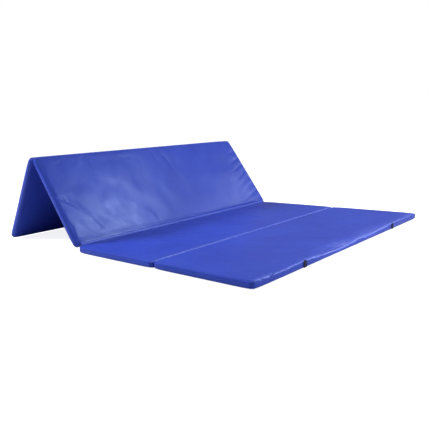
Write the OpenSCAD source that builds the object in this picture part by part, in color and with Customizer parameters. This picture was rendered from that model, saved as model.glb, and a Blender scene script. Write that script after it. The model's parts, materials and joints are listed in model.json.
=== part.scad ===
// Folding gym mat: four foam panels in stitched vinyl covers, joined by three
// fabric hinges in a zigzag. It stands as it is half unfolded: panels 1 and 2
// form a tent, panels 3 and 4 lie flat. Millimetres, +Z up. The origin is the
// middle of the bounding box at floor level.

/* [Panels] */
// Width of one panel, from hinge line to hinge line
panel_pitch = 610; // [400:10:800]
// Length of the mat along its hinges
panel_length = 1790; // [1000:1:2400]
// Thickness of one covered panel
panel_thick = 40; // [30:1:60]
// Radius of a panel's corners in plan
corner_radius = 22; // [10:1:40]
// Gap between two neighbouring panels when the mat is flat
hinge_gap = 6; // [4:0.5:10]
// Thickness of the vinyl cover
cover_thick = 0.8; // [0.5:0.1:1.2]

/* [Standing pose] */
// Angle of panel 2 above the floor
lean_angle = 54; // [35:0.5:65]

/* [Grab tabs] */
// Distance between the two tabs' centre lines
tab_spacing = 995; // [600:5:1200]
// Width of the webbing
tab_width = 25; // [15:1:40]
// Free length of a doubled tab
tab_drop = 25; // [15:1:26]

/* [Hidden] */
$fn = 48;

// A hinge axis lies this far outside the faces it joins, so that folded faces
// keep twice this clearance.
axis_offset = 1;
half_gap = hinge_gap / 2;
panel_width = panel_pitch - hinge_gap;
hinge_reach = half_gap + panel_width;

// Air between the foam and the cover, on every side
core_clearance = 0.4;
core_inset = cover_thick + core_clearance;

// Each strip stops short of the two covers it joins by this much.
strip_clearance = 0.2;

// The tent: where the peak's axis stands, and the angle at which panel 1 has
// to come down for its inner lower edge to meet the floor.
peak_x = -panel_pitch * cos(lean_angle) - (panel_thick + 2 * axis_offset) * sin(lean_angle);
peak_z = panel_thick + axis_offset + panel_pitch * sin(lean_angle)
    - (panel_thick + 2 * axis_offset) * cos(lean_angle);
foot_reach = sqrt(hinge_reach * hinge_reach + axis_offset * axis_offset);
prop_angle = atan(axis_offset / hinge_reach) + asin(peak_z / foot_reach);
peak_fold = lean_angle + prop_angle;

// Webbing of the tabs, and where a tab turns
web_thick = 1.5;
root_height = 5;
root_drop = 3;
tab_axis_out = 2.6;
tab_axis_z = panel_thick - root_drop - root_height - 2;
tab_start = 0.5;
front_x = half_gap + 2 * panel_pitch - hinge_gap;
tab_out = tab_axis_out + web_thick;

// Ends of the bounding box, before the origin is moved to its middle
low_x = peak_x - hinge_reach * cos(prop_angle) - (axis_offset + panel_thick) * sin(prop_angle);
high_x = front_x + tab_out;
middle_x = (low_x + high_x) / 2;

vinyl = [0.24, 0.29, 0.69];
foam = [0.92, 0.92, 0.90];
webbing = [0.06, 0.08, 0.28];

// ---- Frames: the mat is laid out flat, and each panel is then turned ----

// x = 0 is hinge 2-3. Turns its children about a hinge line along Y.
module turn_about(x, z, angle) {
    translate([x, 0, z])
        rotate([0, angle, 0])
            translate([-x, 0, -z])
                children();
}

module place() {
    translate([-middle_x, -panel_length / 2, 0])
        children();
}

module raise_panel_2() {
    turn_about(0, panel_thick + axis_offset, lean_angle)
        children();
}

module drop_panel_1() {
    raise_panel_2()
        turn_about(-panel_pitch, -axis_offset, -peak_fold)
            children();
}

// Panels 1 to 4 lie left to right.
module panel_frame(number) {
    left_x = (number - 3) * panel_pitch + half_gap;
    place()
        if (number == 1)
            drop_panel_1() translate([left_x, 0, 0]) children();
        else if (number == 2)
            raise_panel_2() translate([left_x, 0, 0]) children();
        else
            translate([left_x, 0, 0]) children();
}

// ---- Pieces of one panel, with a lower corner at the origin ----

module rounded_slab(inset, low, high) {
    radius = corner_radius - inset;
    near = corner_radius;
    translate([0, 0, low])
        linear_extrude(high - low)
            union() {
                translate([corner_radius, inset])
                    square([panel_width - 2 * corner_radius, panel_length - 2 * inset]);
                translate([inset, corner_radius])
                    square([panel_width - 2 * inset, panel_length - 2 * corner_radius]);
                for (x = [near, panel_width - near])
                    for (y = [near, panel_length - near])
                        translate([x, y])
                            circle(r = radius);
            }
}

module core(number) {
    color(foam)
        panel_frame(number)
            rounded_slab(core_inset, core_inset, panel_thick - core_inset);
}

module top_cover(number) {
    color(vinyl)
        panel_frame(number)
            rounded_slab(0, panel_thick - cover_thick, panel_thick);
}

module bottom_cover(number) {
    color(vinyl)
        panel_frame(number)
            rounded_slab(0, 0, cover_thick);
}

// Band around a panel's four sides, between its two covers
module gusset(number) {
    color(vinyl)
        panel_frame(number)
            difference() {
                rounded_slab(0, cover_thick, panel_thick - cover_thick);
                rounded_slab(cover_thick, 0, panel_thick);
            }
}

// ---- Hinge strips ----

// A band between the facing edges of two panels. The axis stands at the origin
// of this frame. side is 1 where the panels lie above the axis and -1 where
// they lie below it, and fold is how far the left panel has turned.
module hinge_strip(side, fold) {
    right_edge = [half_gap, side * axis_offset];
    left_edge = [
        -half_gap * cos(fold) + side * axis_offset * sin(fold),
        half_gap * sin(fold) + side * axis_offset * cos(fold)
    ];
    span = right_edge - left_edge;
    reach = norm(span);
    low = side > 0 ? 0 : -cover_thick;
    color(vinyl)
        translate([left_edge[0], 0, left_edge[1]])
            rotate([0, -atan2(span[1], span[0]), 0])
                translate([strip_clearance, corner_radius, low])
                    cube([reach - 2 * strip_clearance, panel_length - 2 * corner_radius, cover_thick]);
}

module hinge_strip_12() {
    place()
        raise_panel_2()
            translate([-panel_pitch, 0, -axis_offset])
                hinge_strip(1, -peak_fold);
}

module hinge_strip_23() {
    place()
        translate([0, 0, panel_thick + axis_offset])
            hinge_strip(-1, lean_angle);
}

module hinge_strip_34() {
    place()
        translate([panel_pitch, 0, -axis_offset])
            hinge_strip(1, 0);
}

// ---- Grab tabs on the free long edge of panel 4 ----

// end is -1 for the near tab and 1 for the far one.
module tab_place(end) {
    place()
        translate([front_x, (panel_length + end * tab_spacing - tab_width) / 2, 0])
            children();
}

// Sewn end of the webbing, under the top seam
module tab_root(end) {
    color(webbing)
        tab_place(end)
            translate([0, 0, panel_thick - root_drop - root_height])
                cube([web_thick, tab_width, root_height]);
}

// Free end: the webbing doubled back on itself, hanging
module grab_tab(end) {
    color(webbing)
        tab_place(end)
            translate([tab_axis_out - web_thick, 0, tab_axis_z - tab_start - tab_drop])
                cube([2 * web_thick, tab_width, tab_drop]);
}

for (number = [1:4]) {
    core(number);
    top_cover(number);
    bottom_cover(number);
    gusset(number);
}
hinge_strip_12();
hinge_strip_23();
hinge_strip_34();
tab_root(-1);  // tab_root_near
tab_root(1);  // tab_root_far
grab_tab(-1);  // grab_tab_near
grab_tab(1);  // grab_tab_far
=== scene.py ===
"""Folding gym mat: crowned vinyl covers with seams, puckers and stitching, fabric hinges and webbing tabs."""

import json
import math

import bpy
import numpy as np
from mathutils import Matrix, Vector


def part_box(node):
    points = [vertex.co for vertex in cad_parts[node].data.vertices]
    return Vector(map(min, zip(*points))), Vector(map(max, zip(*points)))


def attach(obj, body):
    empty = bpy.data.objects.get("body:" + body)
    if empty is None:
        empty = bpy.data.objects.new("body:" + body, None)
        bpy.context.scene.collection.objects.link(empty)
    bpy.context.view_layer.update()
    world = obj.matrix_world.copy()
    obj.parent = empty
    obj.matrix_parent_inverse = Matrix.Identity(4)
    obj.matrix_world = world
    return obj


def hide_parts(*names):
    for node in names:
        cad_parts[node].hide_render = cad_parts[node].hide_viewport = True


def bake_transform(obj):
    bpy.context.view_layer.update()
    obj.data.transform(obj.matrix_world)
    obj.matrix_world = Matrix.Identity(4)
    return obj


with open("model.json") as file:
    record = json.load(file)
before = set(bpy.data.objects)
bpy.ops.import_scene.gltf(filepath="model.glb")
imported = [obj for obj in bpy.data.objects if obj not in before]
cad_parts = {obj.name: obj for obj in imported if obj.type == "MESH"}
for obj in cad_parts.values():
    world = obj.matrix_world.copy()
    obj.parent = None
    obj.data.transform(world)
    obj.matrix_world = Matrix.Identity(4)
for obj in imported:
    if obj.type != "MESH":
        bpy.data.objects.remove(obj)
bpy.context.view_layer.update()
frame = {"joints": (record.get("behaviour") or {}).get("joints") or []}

# ---- Places and sizes, from the frame ----

joints = {joint["name"]: joint for joint in frame["joints"]}
HINGE_23 = Vector(joints["hinge_2_3"]["pos_m"])
HINGE_34 = Vector(joints["hinge_3_4"]["pos_m"])
LEAN = -math.radians(joints["hinge_2_3"]["range_deg"][0])
FOLD = -math.radians(joints["hinge_1_2"]["range_deg"][0])
PITCH = HINGE_34.x - HINGE_23.x

LOW_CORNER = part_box("bottom_cover_3")[0]
HIGH_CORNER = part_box("top_cover_3")[1]
WIDTH = HIGH_CORNER.x - LOW_CORNER.x
LENGTH = HIGH_CORNER.y - LOW_CORNER.y
THICK = HIGH_CORNER.z
PANELS = (1, 2, 3, 4)

# ---- Shape of a cover, in metres ----

CORNER = 0.024  # radius of a panel's corners in plan
RIM_REACH = 0.030  # how far in from a seam a face's grid lines stay closest
SEAM_INSET = 0.0006  # a face's outermost line, in from the CAD outline
SEAM_GROOVE = 0.0014  # the seam itself, in from the CAD outline
GROOVE_HEIGHT = 0.0012  # from a face's outermost line to the seam
TOP_DROP = 0.0090  # how far a free edge's upper seam is below the face
UNDER_DROP = 0.0080  # the same for the lower seam
HINGED_DROP = 0.0035  # the same beside a fabric hinge
BACK_DROP = 0.0050  # the same at a hinge, on the face that has no fabric
LINE_DROP = 0.0075  # the same for panel 3's upper seam, at its hinge with panel 4
PINCH = 0.0025  # extra drop of both faces at a panel's corners
PINCH_REACH = 0.040
# Panel 2's face is pulled down into its hinge with panel 3, most of all past the middle
PULL = ((0, 0.0035), (0.16, 0.004), (0.48, 0.011), (0.90, 0.012), (1, 0.005))
FRONT_DROP = 0.0060  # how far the seam of panel 4's free long edge is below its rim
# That edge has slumped as well: how far its rim has sunk, at shares of the length
SLUMP = (
    (0, 0.001), (0.05, 0.001), (0.12, 0.004), (0.20, 0.002), (0.26, 0.004), (0.34, 0.012), (0.42, 0.017),
    (0.48, 0.015), (0.53, 0.006), (0.61, 0.012), (0.69, 0.007), (0.77, 0.001), (1, 0),
)
SLUMP_REACH = 0.085
NEAR_DROP = 0.014  # how far the upper seam of panels 1 and 2 is below the face at their near end
FAR_DROP = 0.006  # the same at their far end
SHEET = 0.0008  # thickness of the vinyl
BAND_ROWS = 9
CAD_GAP = 0.0002  # how far a face lies inside the CAD plane, before its crown and puckers

# Spacing of the grid lines of a face
FINE = 0.005
FINER = 0.008
COARSE = 0.022
FINE_BAND = 0.075  # how far in from a seam the fine lines go

# Which face each long edge is hinged on
HINGED = {
    1: {"right": "bottom"},
    2: {"left": "bottom", "right": "top"},
    3: {"left": "top", "right": "bottom"},
    4: {"left": "bottom"},
}


def turn(pivot, angle):
    return Matrix.Translation(pivot) @ Matrix.Rotation(angle, 4, "Y") @ Matrix.Translation(-pivot)


def panel_frame(number):
    """Places panel coordinates, whose origin is the panel's lower left near corner, in the row frame."""
    flat = Matrix.Translation(LOW_CORNER + Vector(((number - 3) * PITCH, 0, 0)))
    if number > 2:
        return flat
    lean = turn(HINGE_23, LEAN)
    if number == 2:
        return lean @ flat
    return lean @ turn(HINGE_34 - Vector((2 * PITCH, 0, 0)), -FOLD) @ flat


def moved(matrix, points):
    m = np.array(matrix)
    return points @ m[:3, :3].T + m[:3, 3]


def eased(points, at):
    """A smooth curve through (place, value) points, level at each of them."""
    places = np.array([p[0] for p in points])
    values = np.array([p[1] for p in points])
    k = np.clip(np.searchsorted(places, at, side="right") - 1, 0, len(places) - 2)
    t = np.clip((at - places[k]) / (places[k + 1] - places[k]), 0, 1)
    t = t * t * (3 - 2 * t)
    return values[k] * (1 - t) + values[k + 1] * t


def side_drop(number, side, face, along):
    """How far a side's seam lies inside the face, at places along that side."""
    hinged = HINGED[number].get(side)
    if (number, side, face) == (2, "right", "top"):
        return eased(PULL, along / LENGTH)
    if (number, side, face) == (3, "right", "top"):
        return np.full_like(along, LINE_DROP)
    if hinged is not None:
        return np.full_like(along, HINGED_DROP if hinged == face else BACK_DROP)
    if (number, side, face) == (4, "right", "top"):
        return np.full_like(along, FRONT_DROP)
    if number < 3 and face == "top" and side in ("near", "far"):
        return np.full_like(along, NEAR_DROP if side == "near" else FAR_DROP)
    return np.full_like(along, TOP_DROP if face == "top" else UNDER_DROP)


# ---- Wrinkles ----


class Puckers:
    """Wrinkles beside a seam, each a small ridge or dent. Random ones start at the seam and die away into the
    sheet; chosen ones are highest a little way in."""

    def __init__(self, seed, length, gap, height, width, reach, stretches=(), chosen=()):
        rng = np.random.default_rng(seed)
        places = list(np.cumsum(rng.uniform(0.4 * gap, 1.6 * gap, int(length / gap))))
        strength = [1.0] * len(places)
        for start, end, share, step in stretches:
            extra = np.arange(start * length, end * length, step)
            places += list(extra + rng.uniform(-0.3, 0.3, len(extra)) * step)
            strength += [share] * len(extra)
        count = len(places)
        spread = np.ones(count)
        spread[np.array(strength) > 1] = 1.7
        self.place = np.array(places)
        self.height = rng.normal(0.15, 1.0, count) * height * np.array(strength)
        self.width = rng.uniform(0.6, 1.5, count) * width * spread
        self.reach = rng.uniform(0.5, 1.6, count) * reach
        self.slant = rng.normal(0, 0.35, count)
        self.chosen = [(share * length, *rest) for share, *rest in chosen]

    def at(self, along, into):
        total = np.zeros_like(along)
        for place, height, width, reach, slant in zip(
            self.place, self.height, self.width, self.reach, self.slant
        ):
            across = (along - place - slant * into) / width
            near = np.abs(across) < 3
            total[near] += height * np.exp(-across[near] ** 2) * np.exp(-into[near] / reach)
        for place, height, width, crest, slant in self.chosen:
            across = (along - place - slant * into) / width
            near = np.abs(across) < 3
            rise = height * np.exp(-across[near] ** 2)
            total[near] += rise * into[near] / crest * np.exp(1 - into[near] / crest)
        return total


def waves(seed, x, y, length, height, count=14):
    """Smooth random undulation about zero."""
    rng = np.random.default_rng(seed)
    total = np.zeros_like(x)
    for _ in range(count):
        angle = rng.uniform(0, math.tau)
        size = length * rng.uniform(0.7, 1.8)
        phase = rng.uniform(0, math.tau)
        total += np.sin(math.tau * (x * math.cos(angle) + y * math.sin(angle)) / size + phase)
    return total * height / math.sqrt(count)


# Crumpled stretches: (start, end) as shares of the edge, how strong, and the wrinkles' spacing in metres
CRUMPLES = {
    (4, "right", "top"): ((0.0, 0.09, 9.0, 0.014), (0.21, 0.31, 9.0, 0.013), (0.47, 0.63, 7.0, 0.015)),
}
# Single wrinkles: place as a share of the edge, height, width, how far in they are highest, and slant
WRINKLES = {
    (2, "far", "top"): (
        (0.16, -0.0034, 0.011, 0.036, 0.35),
        (0.28, -0.0042, 0.012, 0.038, 0.40),
        (0.39, -0.0048, 0.012, 0.040, 0.35),
        (0.50, -0.0052, 0.012, 0.042, 0.40),
        (0.61, -0.0054, 0.012, 0.042, 0.35),
        (0.72, -0.0054, 0.012, 0.044, 0.40),
        (0.83, -0.0050, 0.012, 0.044, 0.35),
    ),
    (4, "left", "top"): (
        (0.10, 0.0010, 0.016, 0.06, 0.5),
        (0.22, 0.0013, 0.018, 0.08, 0.4),
        (0.33, 0.0013, 0.020, 0.09, 0.5),
        (0.58, 0.0015, 0.020, 0.10, 0.3),
        (0.74, 0.0012, 0.022, 0.08, 0.3),
    ),
    (2, "left", "top"): (
        (0.18, -0.0014, 0.030, 0.07, 0.1),
        (0.30, -0.0018, 0.024, 0.05, -0.2),
        (0.52, 0.0014, 0.030, 0.07, 0.2),
        (0.75, -0.0016, 0.030, 0.06, 0.2),
    ),
    (2, "near", "top"): (
        (0.30, 0.0012, 0.020, 0.04, 0.8),
        (0.42, -0.0012, 0.020, 0.05, 0.8),
        (0.55, 0.0012, 0.024, 0.05, 0.6),
    ),
}
SIDES = ("left", "right", "near", "far")


def puckers_of(number, face):
    made = {}
    for index, side in enumerate(SIDES):
        length = LENGTH if side in ("left", "right") else WIDTH
        made[side] = Puckers(
            100 * number + 10 * index + (face == "top"),
            length,
            gap=0.032,
            height=0.00035,
            width=0.007,
            reach=0.022,
            stretches=CRUMPLES.get((number, side, face), ()),
            chosen=WRINKLES.get((number, side, face), ()),
        )
    return made


# How much of the lighter rim colour a face's rims get, from 0 to 1, where they get more than the rest: a
# painted highlight along panel 3's hinge line with panel 4 and along panel 4's free long edge, and lighter
# rims along the ridge of panels 1 and 2
RIM_HIGHLIGHT_AND_WEAR = {(3, "right", "top"): 0.9, (4, "right", "top"): 0.6, (2, "left", "top"): 0.3, (1, "right", "top"): 0.3}
# A little real edge wear on every other rim
LITTLE_WORN = 0.12
# Painted highlight on the crumpled stretches of an edge
CRUMPLE_HIGHLIGHT = 0.8

# ---- Surfaces ----


def lines(length, fine, coarse):
    """Grid lines from 0 to length: close at the rim, fine beside it, coarse in the middle."""
    rim = RIM_REACH * (1 - np.cos(np.linspace(0, math.pi / 2, 10)))
    beside = np.arange(RIM_REACH + fine, FINE_BAND, fine)
    edge = np.concatenate([rim, beside])
    count = max(2, round((length - 2 * FINE_BAND) / coarse) + 1)
    middle = np.linspace(FINE_BAND, length - FINE_BAND, count)
    return np.concatenate([edge, middle, length - edge[::-1]])


def plan(u, v, inset):
    """Moves a point of the full rectangle to the panel's outline with rounded corners, drawn in by inset."""
    x = inset + u * (1 - 2 * inset / WIDTH)
    y = inset + v * (1 - 2 * inset / LENGTH)
    side_x = np.where(x < WIDTH / 2, -1.0, 1.0)
    side_y = np.where(y < LENGTH / 2, -1.0, 1.0)
    radius = CORNER - inset
    centre_x = np.where(side_x < 0, CORNER, WIDTH - CORNER)
    centre_y = np.where(side_y < 0, CORNER, LENGTH - CORNER)
    a = side_x * (x - centre_x) / radius
    b = side_y * (y - centre_y) / radius
    inside = (a > 0) & (b > 0)
    a_round = a * np.sqrt(np.clip(1 - b**2 / 2, 0, 1))
    b_round = b * np.sqrt(np.clip(1 - a**2 / 2, 0, 1))
    x = np.where(inside, centre_x + side_x * a_round * radius, x)
    y = np.where(inside, centre_y + side_y * b_round * radius, y)
    return x, y


def rim_fall(distance, drop):
    """How far a rounded rim has fallen at a distance in from its seam: a quarter of an ellipse."""
    reach = 0.004 + 1.9 * drop
    share = np.clip(distance / reach, 0, 1)
    return drop * (1 - np.sqrt(np.clip(1 - (1 - share) ** 2, 0, 1)))


def distances_in(u, v):
    return {"left": u, "right": WIDTH - u, "near": v, "far": LENGTH - v}


def plain_depth(number, face, u, v):
    """The same as face_depth, without the puckers."""
    into = distances_in(u, v)
    falls = []
    for side in SIDES:
        along = v if side in ("left", "right") else u
        falls.append(rim_fall(into[side], side_drop(number, side, face, along)))
    depth = sum(fall**3 for fall in falls) ** (1 / 3)
    corner = np.hypot(np.minimum(into["left"], into["right"]), np.minimum(into["near"], into["far"]))
    depth = depth + PINCH * np.exp(-((corner / PINCH_REACH) ** 2))
    if face == "bottom":
        return depth + CAD_GAP
    if number == 4:
        share = np.clip(into["right"] / SLUMP_REACH, 0, 1)
        depth = depth + eased(SLUMP, v / LENGTH) * (1 - share) ** 2 * (1 + 2 * share)
    inner = np.minimum.reduce(list(into.values()))
    settle = 1 - np.exp(-inner / 0.09)
    uneven = 1 + np.tanh(waves(7 * number, u, v, 0.20, 1.2))
    return depth + CAD_GAP + 0.0008 * (1 - settle) + 0.0012 * settle * uneven


def face_depth(number, face, u, v, puckers):
    """How far a face's surface lies inside the CAD plane, at rectangle coordinates u, v."""
    into = distances_in(u, v)
    depth = plain_depth(number, face, u, v)
    rough = np.zeros_like(u)
    for side in SIDES:
        along = v if side in ("left", "right") else u
        rough += puckers[side].at(along, into[side])
    return np.maximum(depth - rough, 0.0)


def face_points(number, face, u, v, puckers, inset=SEAM_INSET):
    depth = face_depth(number, face, u, v, puckers)
    x, y = plan(u, v, inset)
    z = THICK - depth if face == "top" else depth
    return np.stack([x, y, z], -1)


def rim_loop(count_u, count_v):
    """Grid indices (i, j) once round the edge, anticlockwise from above."""
    loop = [(i, 0) for i in range(count_u)]
    loop += [(count_u - 1, j) for j in range(1, count_v)]
    loop += [(i, count_v - 1) for i in range(count_u - 2, -1, -1)]
    loop += [(0, j) for j in range(count_v - 2, 0, -1)]
    return loop


def build(name, points, faces, smooth=True):
    mesh = bpy.data.meshes.new(name)
    mesh.from_pydata([tuple(p) for p in points], [], faces)
    mesh.validate()
    if smooth:
        mesh.shade_smooth()
    piece = bpy.data.objects.new(name, mesh)
    bpy.context.scene.collection.objects.link(piece)
    return piece


def mark_highlight_and_wear(piece, values):
    """Stores each vertex's share of the lighter rim colour, 0 to 1, for the material: painted highlight with
    a little edge wear.
    """
    piece.data.attributes.new("lit_and_worn", "FLOAT", "POINT").data.foreach_set("value", np.ravel(values))


def thicken(piece, thickness, offset):
    """Gives a sheet its thickness. Offset -1 puts it on the inner side."""
    solid = piece.modifiers.new("thickness", "SOLIDIFY")
    solid.thickness = thickness
    solid.offset = offset
    bpy.context.view_layer.objects.active = piece
    with bpy.context.temp_override(object=piece):
        bpy.ops.object.modifier_apply(modifier=solid.name)


def grid_faces(rows, columns, flip=False):
    faces = []
    for i in range(rows - 1):
        for j in range(columns - 1):
            quad = (i * columns + j, (i + 1) * columns + j, (i + 1) * columns + j + 1, i * columns + j + 1)
            faces.append(quad[::-1] if flip else quad)
    return faces


# ---- Cloth simulation ----

CLOTH_FRAMES = 16
CLOTH_CAP = 0.0018  # the furthest that the simulation may move the vinyl
CLOTH_GROWTH = 0.010  # how much too large the vinyl is for its seams, as a share
MIDDLE_SHARE = 0.10  # the part of the movement that is kept in the middle of a sheet
EDGE_REACH = 0.10  # how far in from a seam the rest of it is kept
FREE_START = 0.010  # where the movement starts, in from a plain seam
HINGE_START = 0.026  # the same beside hinge fabric
START_FADE = 0.020


def buckle(points, faces, pinned):
    """Cloth simulation of a sheet a little too large for the seams that hold it: how far each point moves."""
    piece = build("slack_vinyl", points, faces)
    piece.vertex_groups.new(name="seam").add([int(k) for k in pinned], 1.0, "REPLACE")
    cloth = piece.modifiers.new("cloth", "CLOTH")
    cloth.settings.vertex_group_mass = "seam"
    cloth.settings.quality = 6
    cloth.settings.mass = 0.3
    cloth.settings.tension_stiffness = 25
    cloth.settings.compression_stiffness = 25
    cloth.settings.shear_stiffness = 10
    cloth.settings.bending_stiffness = 0.4
    cloth.settings.air_damping = 4
    cloth.settings.shrink_min = -CLOTH_GROWTH
    cloth.settings.use_pressure = True
    cloth.settings.uniform_pressure_force = 0.6
    cloth.settings.effector_weights.gravity = 0
    scene = bpy.context.scene
    for step in range(1, CLOTH_FRAMES + 1):
        scene.frame_set(step)
    settled = piece.evaluated_get(bpy.context.evaluated_depsgraph_get()).data
    after = np.empty(len(points) * 3)
    settled.vertices.foreach_get("co", after)
    bpy.data.objects.remove(piece)
    scene.frame_set(1)
    shift = after.reshape(-1, 3) - points
    size = np.maximum(np.linalg.norm(shift, axis=1, keepdims=True), 1e-9)
    return shift * CLOTH_CAP * np.tanh(size / CLOTH_CAP) / size


def slack(number, u, v, points, faces):
    """The simulated movement of a top sheet's points, none at its seams, hinge fabric or stitching."""
    into = distances_in(u, v)
    inner = np.minimum.reduce(list(into.values()))
    rim = (inner < 0.0005).ravel()
    shift = buckle(points.reshape(-1, 3), faces, np.flatnonzero(rim)).reshape(points.shape)
    share = MIDDLE_SHARE + (1 - MIDDLE_SHARE) * np.exp(-((inner / EDGE_REACH) ** 2))
    for side in SIDES:
        start = HINGE_START if HINGED[number].get(side) == "top" else FREE_START
        near = np.clip((into[side] - start) / START_FADE, 0, 1)
        share *= near * near * (3 - 2 * near)
    moved_points = points + shift * share[..., None]
    moved_points[..., 2] = np.minimum(moved_points[..., 2], THICK)
    return moved_points


# ---- Parts of a panel ----


def make_face(number, face, puckers, matrix):
    """A cover sheet: its crowned face, its rounded rim and the turned-in hem at the seam."""
    top = face == "top"
    step = COARSE if top else 2 * COARSE
    u_lines = lines(WIDTH, FINE, FINER if number == 2 and top else step)
    v_lines = lines(LENGTH, FINE, FINE if top else 3 * FINE)
    u, v = np.meshgrid(u_lines, v_lines, indexing="ij")
    points = face_points(number, face, u, v, puckers)
    loop = rim_loop(len(u_lines), len(v_lines))
    index = {ij: ij[0] * len(v_lines) + ij[1] for ij in loop}
    rim = np.array([points[ij] for ij in loop])
    loop_u = np.array([u[ij] for ij in loop])
    loop_v = np.array([v[ij] for ij in loop])
    hem_x, hem_y = plan(loop_u, loop_v, SEAM_GROOVE)
    down = -GROOVE_HEIGHT if top else GROOVE_HEIGHT
    hem = np.stack([hem_x, hem_y, rim[:, 2] + down], -1)
    faces = grid_faces(len(u_lines), len(v_lines), flip=not top)
    if top:
        points = slack(number, u, v, points, faces)
    base = u.size
    for k in range(len(loop)):
        after = (k + 1) % len(loop)
        quad = (index[loop[k]], base + k, base + after, index[loop[after]])
        faces.append(quad if top else quad[::-1])
    everything = np.concatenate([points.reshape(-1, 3), hem])
    piece = build(f"{face}_sheet_{number}", moved(matrix, everything), faces)
    into = distances_in(u, v)
    # The lighter rim colour: a painted highlight along the chosen rims and the crumpled stretches, and a
    # little real edge wear on the other rims
    lit_and_worn = np.zeros_like(u)
    for side in SIDES:
        highlight_and_wear_share = RIM_HIGHLIGHT_AND_WEAR.get((number, side, face), LITTLE_WORN)
        lit_and_worn = np.maximum(lit_and_worn, highlight_and_wear_share * np.exp(-((into[side] / 0.006) ** 2)))
        for start, end, _, _ in CRUMPLES.get((number, side, face), ()):
            along = (v / LENGTH - (start + end) / 2) / (end - start)
            fade = np.exp(-((2.2 * along) ** 4) - (into[side] / 0.016) ** 2)
            lit_and_worn = np.maximum(lit_and_worn, CRUMPLE_HIGHLIGHT * fade)
    mark_highlight_and_wear(piece, np.concatenate([lit_and_worn.ravel(), [lit_and_worn[ij] for ij in loop]]))
    return piece, hem, loop_u, loop_v


def make_band(number, top_hem, bottom_hem, u, v, seed, matrix):
    """The side band between the two seams, a little fuller than the seams."""
    around = np.concatenate([[0], np.cumsum(np.hypot(np.diff(u), np.diff(v)))])
    rows = []
    for k in range(BAND_ROWS + 1):
        share = k / BAND_ROWS
        full = math.sin(math.pi * share) ** 0.35 if 0 < share < 1 else 0.0
        wander = waves(seed, around, np.full_like(around, share * 0.03), 0.22, 0.0005)
        ripple = waves(seed + 1, around, np.full_like(around, share * 0.02), 0.035, 0.00022)
        inset = SEAM_GROOVE - full * (SEAM_GROOVE - 0.0004 + wander + ripple)
        x, y = plan(u, v, 0.0)
        x_in, y_in = plan(u, v, 0.004)
        out = np.stack([x - x_in, y - y_in], -1)
        out /= np.maximum(np.linalg.norm(out, axis=1, keepdims=True), 1e-9)
        z = top_hem[:, 2] * (1 - share) + bottom_hem[:, 2] * share
        rows.append(np.stack([x - out[:, 0] * inset, y - out[:, 1] * inset, z], -1))
    rows[0] = top_hem
    rows[-1] = bottom_hem
    count = len(u)
    points = np.concatenate(rows)
    faces = []
    for k in range(BAND_ROWS):
        for j in range(count):
            after = (j + 1) % count
            faces.append((k * count + j, (k + 1) * count + j, (k + 1) * count + after, k * count + after))
    return build(f"side_band_{number}", moved(matrix, points), faces)


CORE_INSET = 0.0032
CORE_DEPTH = {"top": 0.0046, "bottom": 0.0016}  # how far the foam is under each sheet
DENT_ROOM = 0.0060  # how much further it is under the dents at panel 2's far edge
DENT_REACH = 0.15


def make_core(number, matrix):
    """The foam slab, rounded along its edges, inside the cover."""
    u_lines = lines(WIDTH, 0.02, 0.06)
    v_lines = lines(LENGTH, 0.02, 0.12)
    u, v = np.meshgrid(u_lines, v_lines, indexing="ij")
    layers = {}
    for face in ("top", "bottom"):
        depth = plain_depth(number, face, u, v) + CORE_DEPTH[face]
        if (number, face) == (2, "top"):
            depth += DENT_ROOM * np.exp(-(((LENGTH - v) / DENT_REACH) ** 2))
        x, y = plan(u, v, CORE_INSET)
        layers[face] = np.stack([x, y, THICK - depth if face == "top" else depth], -1).reshape(-1, 3)
    rows, columns = len(u_lines), len(v_lines)
    faces = grid_faces(rows, columns)
    base = u.size
    faces += [tuple(base + i for i in quad) for quad in grid_faces(rows, columns, flip=True)]
    loop = [i * columns + j for i, j in rim_loop(rows, columns)]
    for k in range(len(loop)):
        a, b = loop[k], loop[(k + 1) % len(loop)]
        faces.append((a, base + a, base + b, b))
    points = np.concatenate([layers["top"], layers["bottom"]])
    return build(f"foam_core_{number}", moved(matrix, points), faces)


# ---- Materials ----


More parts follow.
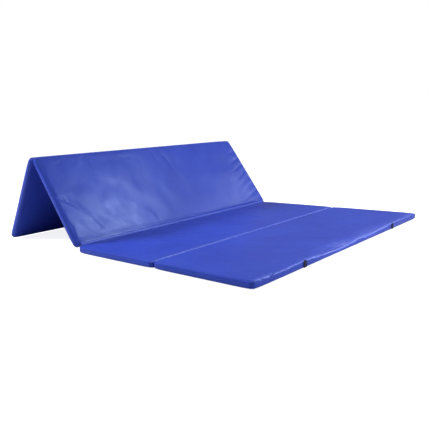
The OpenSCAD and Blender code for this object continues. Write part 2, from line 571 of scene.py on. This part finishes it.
class Nodes:
    """Short calls for building a node material."""

    def __init__(self, name):
        self.material = bpy.data.materials.new(name)
        self.material.use_nodes = True
        self.tree = self.material.node_tree
        self.shader = self.tree.nodes["Principled BSDF"]
        self.place = self.add("ShaderNodeTexCoord").outputs["Object"]

    def add(self, kind, inputs=None, **settings):
        node = self.tree.nodes.new(kind)
        for name, value in settings.items():
            setattr(node, name, value)
        for name, value in (inputs or {}).items():
            if isinstance(value, bpy.types.NodeSocket):
                self.tree.links.new(value, node.inputs[name])
            else:
                node.inputs[name].default_value = value
        return node

    def mix(self, share, first, second):
        node = self.add("ShaderNodeMix", {0: share, 6: first, 7: second}, data_type="RGBA")
        return node.outputs[2]

    def noise(self, scale, detail=3.0, roughness=0.5):
        inputs = {"Vector": self.place, "Scale": scale, "Detail": detail, "Roughness": roughness}
        return self.add("ShaderNodeTexNoise", inputs).outputs["Fac"]

    def cells(self, scale):
        return self.add("ShaderNodeTexVoronoi", {"Vector": self.place, "Scale": scale}).outputs["Distance"]

    def bands(self, scale, distortion, direction):
        inputs = {"Vector": self.place, "Scale": scale, "Distortion": distortion}
        return self.add("ShaderNodeTexWave", inputs, bands_direction=direction).outputs["Fac"]

    def ramp(self, value, stops):
        node = self.add("ShaderNodeValToRGB", {"Fac": value})
        elements = node.color_ramp.elements
        while len(elements) < len(stops):
            elements.new(0.5)
        for element, (place, colour) in zip(elements, stops):
            element.position = place
            element.color = (*colour, 1.0)
        return node.outputs["Color"]

    def between(self, value, low, high, to_low, to_high):
        inputs = {"Value": value, "From Min": low, "From Max": high, "To Min": to_low, "To Max": to_high}
        return self.add("ShaderNodeMapRange", inputs).outputs["Result"]

    def math(self, operation, a, b):
        return self.add("ShaderNodeMath", {0: a, 1: b}, operation=operation).outputs["Value"]

    def bump(self, height, distance, strength, before=None):
        inputs = {"Height": height, "Distance": distance, "Strength": strength}
        if before is not None:
            inputs["Normal"] = before
        return self.add("ShaderNodeBump", inputs).outputs["Normal"]

    def set(self, **values):
        names = {"color": "Base Color", "roughness": "Roughness", "normal": "Normal"}
        for name, value in values.items():
            socket = self.shader.inputs[names.get(name, name)]
            if isinstance(value, bpy.types.NodeSocket):
                self.tree.links.new(value, socket)
            else:
                socket.default_value = value
        return self.material


def vinyl():
    n = Nodes("coated_vinyl")
    cloud = n.noise(3.0, 2.0)
    mottle = n.noise(38.0, 4.0)
    shade = n.math("ADD", n.math("MULTIPLY", cloud, 0.8), n.math("MULTIPLY", mottle, 0.2))
    tone = n.ramp(shade, [(0.35, (0.024, 0.049, 0.395)), (0.65, (0.029, 0.060, 0.455))])
    grain = n.cells(950.0)
    weave = n.noise(420.0, 3.0, 0.6)
    loose = n.noise(4.0, 1.0, 0.4)
    normal = n.bump(loose, 0.013, 0.25)
    ripple = n.noise(26.0, 2.0)
    normal = n.bump(ripple, 0.0012, 0.25, normal)
    normal = n.bump(weave, 0.00020, 0.15, normal)
    normal = n.bump(grain, 0.00020, 0.15, normal)
    # Painted highlight: rims, hinge folds and crumples are mixed toward a lighter blue by the per-vertex
    # share, with a little real edge wear on the other rims
    lit_and_rubbed = n.add("ShaderNodeAttribute", attribute_name="lit_and_worn").outputs["Fac"]
    lit_and_rubbed = n.math("MULTIPLY", lit_and_rubbed, n.between(n.noise(60.0, 4.0, 0.6), 0.3, 0.6, 0.6, 1.0))
    tone = n.mix(lit_and_rubbed, tone, (0.115, 0.175, 0.72, 1.0))
    scuff = n.noise(11.0, 6.0, 0.65)
    rough = n.between(scuff, 0.35, 0.7, 0.30, 0.42)
    n.shader.inputs["Specular IOR Level"].default_value = 0.46
    n.shader.inputs["Specular Tint"].default_value = (0.43, 0.61, 1.0, 1.0)
    return n.set(color=tone, roughness=rough, normal=normal)


def foam():
    n = Nodes("closed_cell_foam")
    tone = n.ramp(n.noise(60.0), [(0.3, (0.78, 0.78, 0.74)), (0.7, (0.86, 0.86, 0.83))])
    normal = n.bump(n.cells(420.0), 0.0006, 0.6)
    return n.set(color=tone, roughness=0.85, normal=normal)


def webbing():
    n = Nodes("woven_webbing")
    ribs = n.bands(170.0, 0.6, "Z")
    cross = n.bands(110.0, 0.4, "Y")
    height = n.math("MULTIPLY", ribs, cross)
    tone = n.ramp(height, [(0.1, (0.003, 0.004, 0.022)), (0.9, (0.012, 0.016, 0.085))])
    return n.set(color=tone, roughness=0.75, normal=n.bump(height, 0.0006, 0.7))


def thread():
    n = Nodes("sewing_thread")
    twist = n.bands(900.0, 1.0, "DIAGONAL")
    tone = n.ramp(twist, [(0.2, (0.030, 0.042, 0.30)), (0.8, (0.055, 0.075, 0.44))])
    return n.set(color=tone, roughness=0.55, normal=n.bump(twist, 0.0002, 0.5))


VINYL, FOAM, WEBBING, THREAD = vinyl(), foam(), webbing(), thread()


def dress(piece, material, body, slot_name, *nodes):
    piece.data.materials.clear()
    piece.data.materials.append(material)
    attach(piece, body)
    if nodes:
        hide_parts(*nodes)
    return piece


# ---- The panels ----

puckers_on = {}
for number in PANELS:
    matrix = panel_frame(number)
    body = f"panel_{number}"
    core = dress(make_core(number, matrix), FOAM, body, "foam", f"core_{number}")
    rims = {}
    for face in ("top", "bottom"):
        puckers_on[number, face] = puckers_of(number, face)
        sheet, *rims[face] = make_face(number, face, puckers_on[number, face], matrix)
        thicken(sheet, SHEET, -1)
        dress(sheet, VINYL, body, "vinyl", f"{face}_cover_{number}")
    # The band has the top sheet's points along both of its edges
    top_hem, u, v = rims["top"]
    under_rim = face_points(number, "bottom", u, v, puckers_on[number, "bottom"])
    hem_x, hem_y = plan(u, v, SEAM_GROOVE)
    bottom_hem = np.stack([hem_x, hem_y, under_rim[:, 2] + GROOVE_HEIGHT], -1)
    band = make_band(number, top_hem, bottom_hem, u, v, 900 + number, matrix)
    thicken(band, SHEET, -1)
    dress(band, VINYL, body, "vinyl", f"gusset_{number}")

# ---- Stitching ----

STITCH_PITCH = 0.0065
STITCH_LENGTH = 0.0046
STITCH_RADIUS = 0.00050
STITCH_IN = 0.0075  # from a seam to its row of stitches


def stitches(name, middles, along, normals):
    """Short raised threads, pointed at both ends, one at each middle."""
    along = along / np.linalg.norm(along, axis=1, keepdims=True)
    across = np.cross(normals, along)
    across /= np.linalg.norm(across, axis=1, keepdims=True)
    half = along * STITCH_LENGTH / 2
    side, lift = across * STITCH_RADIUS, normals * STITCH_RADIUS
    ring = [middles + side, middles + lift, middles - side, middles - lift]
    corners = np.stack([middles - half - 0.4 * lift, *ring, middles + half - 0.4 * lift], 1)
    faces = []
    for k in range(len(middles)):
        base = 6 * k
        for j in range(4):
            a, b = base + 1 + j, base + 1 + (j + 1) % 4
            faces.append((base, b, a))
            faces.append((base + 5, a, b))
    return build(name, corners.reshape(-1, 3), faces)


def seam_rows(number, face, puckers, matrix):
    """Stitch middles, directions and normals once round a face, a little in from its seam."""
    low, high_u, high_v = STITCH_IN, WIDTH - STITCH_IN, LENGTH - STITCH_IN
    u_run = np.arange(low + STITCH_PITCH, high_u - STITCH_PITCH, STITCH_PITCH)
    v_run = np.arange(low + STITCH_PITCH, high_v - STITCH_PITCH, STITCH_PITCH)
    u = np.concatenate([u_run, np.full_like(v_run, high_u), u_run[::-1], np.full_like(v_run, low)])
    v = np.concatenate([np.full_like(u_run, low), v_run, np.full_like(u_run, high_v), v_run[::-1]])
    points = face_points(number, face, u, v, puckers)
    step = 0.001
    du = face_points(number, face, u + step, v, puckers) - points
    dv = face_points(number, face, u, v + step, puckers) - points
    normals = np.cross(du, dv) * (1 if face == "top" else -1)
    normals /= np.linalg.norm(normals, axis=1, keepdims=True)
    along = np.roll(points, -1, axis=0) - points
    turn_only = np.array(matrix)[:3, :3]
    return moved(matrix, points + normals * 0.0001), along @ turn_only.T, normals @ turn_only.T


for number in PANELS:
    rows = []
    for face in ("top", "bottom"):
        rows.append(seam_rows(number, face, puckers_on[number, face], panel_frame(number)))
    sewn = stitches(f"seam_stitching_{number}", *[np.concatenate(parts) for parts in zip(*rows)])
    dress(sewn, THREAD, f"panel_{number}", "vinyl")

# ---- Fabric hinges ----

HINGE_EDGE = 0.0035  # where the fabric leaves a face, in from its seam
WING_ROWS = 8
FOLD_ROWS = 10
STITCH_ROWS = (0.003, 0.008)  # in from the fabric's edge
# The panels to the left and right, their face, how far the fabric reaches over them, how far its fold
# stands out of the crease (below 0, how far it is sunk into it), and how much of the lighter colour the
# fold's crest gets: a painted highlight with some wear
HINGES = {
    "12": (1, 2, "bottom", 0.024, -0.003, 0.3),
    "23": (2, 3, "top", 0.024, 0.0062, 1.0),
    "34": (3, 4, "bottom", 0.010, -0.003, 0.3),
}


def outward(number, face):
    """A face's direction, in the row frame."""
    return panel_frame(number).to_3x3() @ Vector((0, 0, 1 if face == "top" else -1))


def wing(number, side, face, distances, v, lift):
    """Points on a face beside a hinge, raised a little off it, in the row frame: a row for each distance."""
    rows = []
    for distance in distances:
        u = np.full_like(v, distance if side == "left" else WIDTH - distance)
        points = face_points(number, face, u, v, puckers_on[number, face])
        points[:, 2] += lift if face == "top" else -lift
        points[:, 2] = np.maximum(points[:, 2], 0.0001)
        rows.append(moved(panel_frame(number), points))
    return rows


for key, (left_number, right_number, face, reach, rise, highlight_and_wear_share) in HINGES.items():
    v = np.linspace(CORNER, LENGTH - CORNER, 260)
    distances = np.linspace(reach, HINGE_EDGE, WING_ROWS)
    left_rows = wing(left_number, "right", face, distances, v, SHEET * 0.6)
    right_rows = wing(right_number, "left", face, distances[::-1], v, SHEET * 0.6)
    start, end = left_rows[-1], right_rows[0]
    normal = outward(left_number, face) + outward(right_number, face)
    fold = np.array(normal.normalized()) * rise
    fold_rows = []
    for share in np.linspace(0, 1, FOLD_ROWS + 2)[1:-1]:
        fold_rows.append(start * (1 - share) + end * share + fold * math.sin(math.pi * share))
    rows = left_rows + fold_rows + right_rows
    faces = grid_faces(len(rows), len(v), flip=face == "bottom")
    fabric = build(f"hinge_fabric_{key}", np.concatenate(rows), faces)
    fabric.data.materials.append(VINYL)
    # The fold's crest gets the lighter colour: a painted highlight along the hinge line
    crest = [math.sin(math.pi * k / (FOLD_ROWS + 1)) ** 2 for k in range(1, FOLD_ROWS + 1)]
    shares = [0.0] * WING_ROWS + crest + [0.0] * WING_ROWS
    mark_highlight_and_wear(fabric, np.repeat(shares, len(v)) * highlight_and_wear_share)
    thicken(fabric, SHEET, 0)
    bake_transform(fabric)
    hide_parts(f"hinge_strip_{key}")
    for number, side in ((left_number, "right"), (right_number, "left")):
        sewn = []
        for inward in STITCH_ROWS[:1] if reach < 0.02 else STITCH_ROWS:
            v = np.arange(CORNER, LENGTH - CORNER, STITCH_PITCH)
            points = wing(number, side, face, [reach - inward], v, SHEET * 1.15)[0]
            directions = np.tile((0.0, 1.0, 0.0), (len(v), 1))
            sewn.append((points, directions, np.tile(outward(number, face), (len(v), 1))))
        piece = stitches(f"hinge_stitching_{key}_{number}", *[np.concatenate(parts) for parts in zip(*sewn)])
        dress(piece, THREAD, f"panel_{number}", "vinyl")

# ---- Webbing tabs ----


def strap(name, path, width, thickness, centre_y):
    """Woven strap along a path of (x, z) points, its width along Y, with rounded selvedges and ribs."""
    path = np.array(path)
    tangents = np.gradient(path, axis=0)
    tangents /= np.linalg.norm(tangents, axis=1, keepdims=True)
    normals = np.stack([tangents[:, 1], -tangents[:, 0]], 1)
    ribs = 25
    across = np.linspace(-1, 1, ribs)
    shape = np.sqrt(np.clip(1 - np.abs(across) ** 8, 0.02, 1))
    shape = shape * (1 + 0.10 * np.cos(np.arange(ribs) * math.pi))
    outline = [(a * width / 2, s * thickness / 2) for a, s in zip(across, shape)]
    outline += [(a * width / 2, -s * thickness / 2) for a, s in zip(across[::-1], shape[::-1])]
    points = []
    for place, normal in zip(path, normals):
        for y, out in outline:
            x, z = place + normal * out
            points.append((x, centre_y + y, z))
    count = len(outline)
    faces = []
    for i in range(len(path) - 1):
        for j in range(count):
            after = (j + 1) % count
            faces.append((i * count + j, (i + 1) * count + j, (i + 1) * count + after, i * count + after))
    faces.append(tuple(range(count)))
    faces.append(tuple(range((len(path) - 1) * count, len(path) * count))[::-1])
    return build(name, points, faces)


ROOT_THICKNESS = 0.0020
TAB_THICKNESS = 0.0012

for end in ("near", "far"):
    root_low, root_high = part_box(f"tab_root_{end}")
    tab_low, tab_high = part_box(f"grab_tab_{end}")
    width = tab_high.y - tab_low.y
    centre_y = (tab_high.y + tab_low.y) / 2
    face_x, root_z = root_low.x, root_low.z
    root_path = [(face_x + 0.0008, root_z - 0.001 + 0.0009 * k) for k in range(9)]
    root = strap(f"tab_sewn_end_{end}", root_path, width, ROOT_THICKNESS, centre_y)
    dress(root, WEBBING, "panel_4", "webbing", f"tab_root_{end}")

    # The free end goes down behind, round a bend and up in front, and is sewn over itself
    back_x, front_x = face_x + 0.0016, tab_high.x - 0.0007
    radius = (front_x - back_x) / 2
    bottom_z = tab_low.z + radius + 0.0007
    turns = np.linspace(0.3, math.pi - 0.3, 7)
    down = [(back_x, z) for z in np.linspace(root_z + 0.001, bottom_z, 22)]
    bend = [(back_x + radius * (1 - math.cos(t)), bottom_z - radius * math.sin(t)) for t in turns]
    heights = np.linspace(bottom_z, root_z - 0.004, 20)
    front = [(front_x + 0.0001 * math.sin(5 * k), z) for k, z in enumerate(heights)]
    over = [(front_x - 0.0004 * k, root_z - 0.003 + 0.0010 * k) for k in range(1, 5)]
    loop = strap(f"webbing_tab_{end}", down + bend + front + over, width, TAB_THICKNESS, centre_y)
    loop.data.materials.append(WEBBING)
    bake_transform(loop)
    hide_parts(f"grab_tab_{end}")

# ---- Floor, light and camera ----


def plane(name, size, height):
    points = [(-size, -size, height), (size, -size, height), (size, size, height), (-size, size, height)]
    return build(name, np.array(points), [(0, 1, 2, 3)], smooth=False)


def floor_material():
    """A pale floor that glows for the camera only, so that it is as white as the room behind it."""
    n = Nodes("studio_floor")
    tone = n.ramp(n.noise(0.8), [(0.3, (0.54, 0.54, 0.54)), (0.7, (0.56, 0.56, 0.56))])
    n.set(color=tone, roughness=0.95)
    glow = n.add("ShaderNodeEmission", {"Color": (1, 1, 1, 1), "Strength": 0.84})
    camera_ray = n.add("ShaderNodeLightPath").outputs["Is Camera Ray"]
    seen = n.add("ShaderNodeMixShader", {0: camera_ray, 2: glow.outputs[0]})
    both = n.add("ShaderNodeAddShader", {0: n.shader.outputs[0], 1: seen.outputs[0]})
    n.tree.links.new(both.outputs[0], n.tree.nodes["Material Output"].inputs["Surface"])
    return n.material


floor = plane("floor", 30.0, -0.0005)
floor.data.materials.append(floor_material())


def area_light(name, place, target, size, power):
    data = bpy.data.lights.new(name, "AREA")
    data.shape = "DISK"
    data.size = size
    data.energy = power
    light = bpy.data.objects.new(name, data)
    light.location = place
    light.rotation_mode = "QUATERNION"
    light.rotation_quaternion = (Vector(target) - Vector(place)).to_track_quat("-Z", "Y")
    bpy.context.scene.collection.objects.link(light)
    return light


area_light("left", (-2.7, -2.3, 2.2), (0, -0.3, 0), 0.7, 180).visible_glossy = False
area_light("front_rim", (1.7, 1.9, 1.35), (0.4, -0.2, 0), 0.8, 9)
area_light("highlight", (1.02, 1.15, 2.15), (-0.3, -0.75, 0.1), 0.8, 29)
area_light("face_fill", (3.0, 0.2, 0.55), (-0.2, 0.0, 0.3), 1.2, 22).visible_glossy = False
area_light("behind", (0.7, 2.8, 1.6), (0.0, 0.2, 0), 0.7, 8)
low = area_light("low", (2.3, 0.0, 0.25), (0.98, 0, 0.03), 0.2, 12)
low.data.shape = "RECTANGLE"
low.data.size_y = 2.2
low.visible_camera = False

sky = bpy.data.lights.new("overhead", "SUN")
sky.energy = 0.20
sky.angle = math.radians(35)
overhead = bpy.data.objects.new("overhead", sky)
bpy.context.collection.objects.link(overhead)
overhead.rotation_euler = Vector((0.10, 0.10, 1.0)).to_track_quat("Z", "Y").to_euler()


def studio_world():
    """White where the camera looks past the floor, and a dim room for light and reflections."""
    world = bpy.data.worlds.new("studio")
    world.use_nodes = True
    tree = world.node_tree
    room = tree.nodes["Background"]
    height = tree.nodes.new("ShaderNodeSeparateXYZ")
    tree.links.new(tree.nodes.new("ShaderNodeTexCoord").outputs["Generated"], height.inputs[0])
    fade = tree.nodes.new("ShaderNodeMapRange")
    tree.links.new(height.outputs["Z"], fade.inputs["Value"])
    fade.inputs["From Min"].default_value = 0.0
    fade.inputs["From Max"].default_value = 0.9
    fade.inputs["To Min"].default_value = 0.06
    fade.inputs["To Max"].default_value = 0.46
    tree.links.new(fade.outputs["Result"], room.inputs["Strength"])
    white = tree.nodes.new("ShaderNodeBackground")
    white.inputs["Strength"].default_value = 1.0
    white.inputs["Color"].default_value = (1, 1, 1, 1)
    room.inputs["Color"].default_value = (1, 1, 1, 1)
    chosen = tree.nodes.new("ShaderNodeMixShader")
    tree.links.new(tree.nodes.new("ShaderNodeLightPath").outputs["Is Camera Ray"], chosen.inputs[0])
    tree.links.new(room.outputs[0], chosen.inputs[1])
    tree.links.new(white.outputs[0], chosen.inputs[2])
    tree.links.new(chosen.outputs[0], tree.nodes["World Output"].inputs["Surface"])
    return world


bpy.context.scene.world = studio_world()

AZIMUTH, ELEVATION, ROLL = math.radians(41.31), math.radians(9.947), math.radians(-2.621)
CAMERA_PLACE = (2.222, -2.518, 0.678)
camera_data = bpy.data.cameras.new("camera")
camera_data.sensor_width = 36.0
camera_data.lens = 43.83
camera = bpy.data.objects.new("camera", camera_data)
bpy.context.scene.collection.objects.link(camera)
bpy.context.scene.camera = camera
level = math.cos(ELEVATION)
back = Vector((math.sin(AZIMUTH) * level, -math.cos(AZIMUTH) * level, math.sin(ELEVATION)))
right = Vector((0, 0, 1)).cross(back).normalized()
up = back.cross(right)
tilted_right = right * math.cos(ROLL) + up * math.sin(ROLL)
tilted_up = up * math.cos(ROLL) - right * math.sin(ROLL)
axes = Matrix((tilted_right, tilted_up, back)).transposed()
camera.matrix_world = Matrix.Translation(CAMERA_PLACE) @ axes.to_4x4()

bpy.context.scene.view_settings.view_transform = "Standard"
